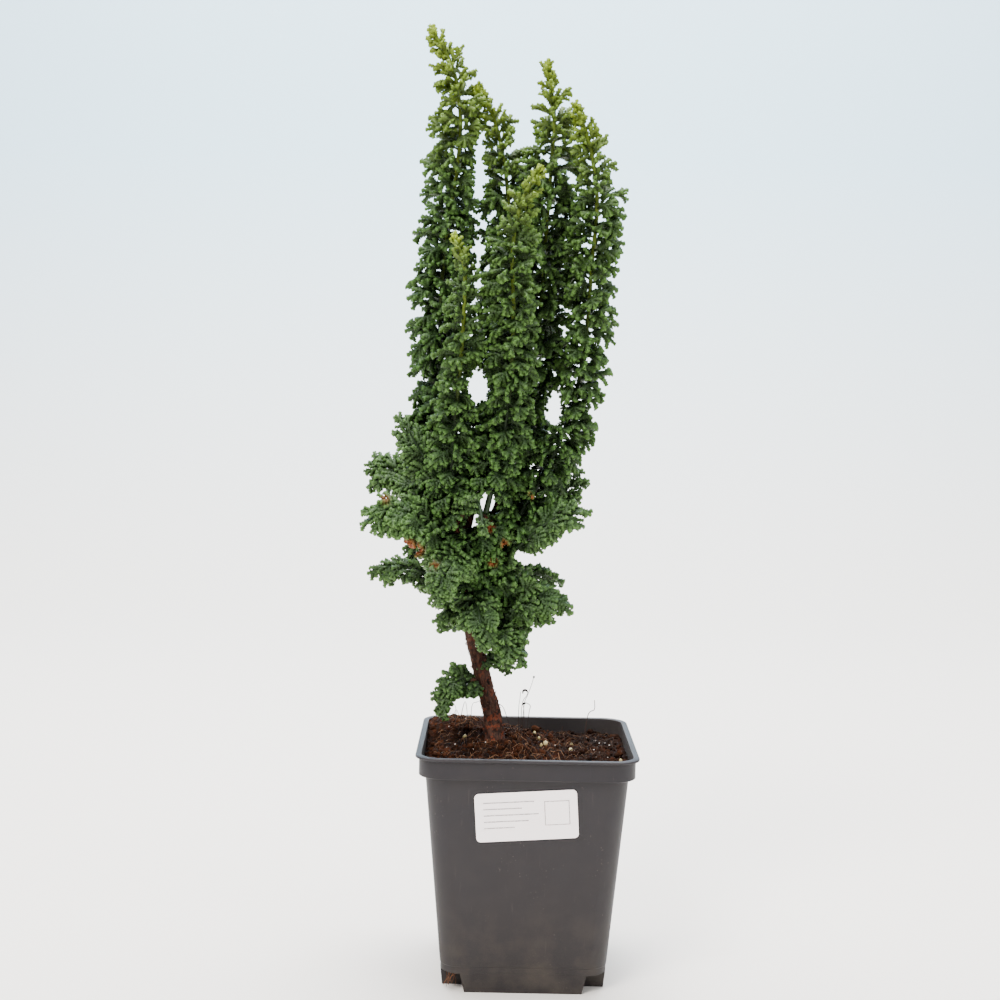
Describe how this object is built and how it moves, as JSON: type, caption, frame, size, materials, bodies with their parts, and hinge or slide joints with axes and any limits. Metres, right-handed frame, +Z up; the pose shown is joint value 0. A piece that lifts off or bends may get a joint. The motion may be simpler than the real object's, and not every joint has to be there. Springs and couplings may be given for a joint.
{
  "type": "hinoki cypress bonsai in a square nursery pot",
  "caption": "Young hinoki cypress trained as a bonsai: leaning trunk, upright leafy plumes over a skirt of drooping sprays, in a tapered square plastic pot with soil and a blank label.",
  "frame": {"origin": "middle of the pot's flat underside, on the surface it stands on", "axes": "+Z up the trunk, +X to the right and +Y to the back with the label facing the viewer at -Y"},
  "size_m": [0.1421, 0.11, 0.4855],
  "materials": {
    "pot_plastic": "satin",
    "potting_soil": "matte",
    "label_paper": "satin",
    "bark": "matte",
    "plume_foliage": "matte",
    "spray_foliage": "matte"
  },
  "bodies": {
    "root": {"pot": "pot_plastic", "soil": "potting_soil", "label": "label_paper", "trunk_and_limbs": "bark", "plume_a": "plume_foliage", "plume_b": "plume_foliage", "plume_c": "plume_foliage", "plume_d": "plume_foliage", "plume_e": "plume_foliage", "plume_f": "plume_foliage", "spray_upper_left": "spray_foliage", "spray_shoulder_left": "spray_foliage", "spray_left_front": "spray_foliage", "spray_left_low": "spray_foliage", "spray_centre_front": "spray_foliage", "spray_low_front": "spray_foliage", "spray_low_left": "spray_foliage", "spray_low_right": "spray_foliage", "spray_skirt_right": "spray_foliage", "spray_mid_right": "spray_foliage", "spray_upper_right": "spray_foliage", "spray_upper_front": "spray_foliage", "spray_trunk_right": "spray_foliage", "spray_trunk_left": "spray_foliage", "spray_back_left": "spray_foliage", "spray_back_low": "spray_foliage", "spray_back_right": "spray_foliage", "spray_back_upper": "spray_foliage", "spray_back_skirt": "spray_foliage", "spray_right_back": "spray_foliage"}
  },
  "joints": []
}
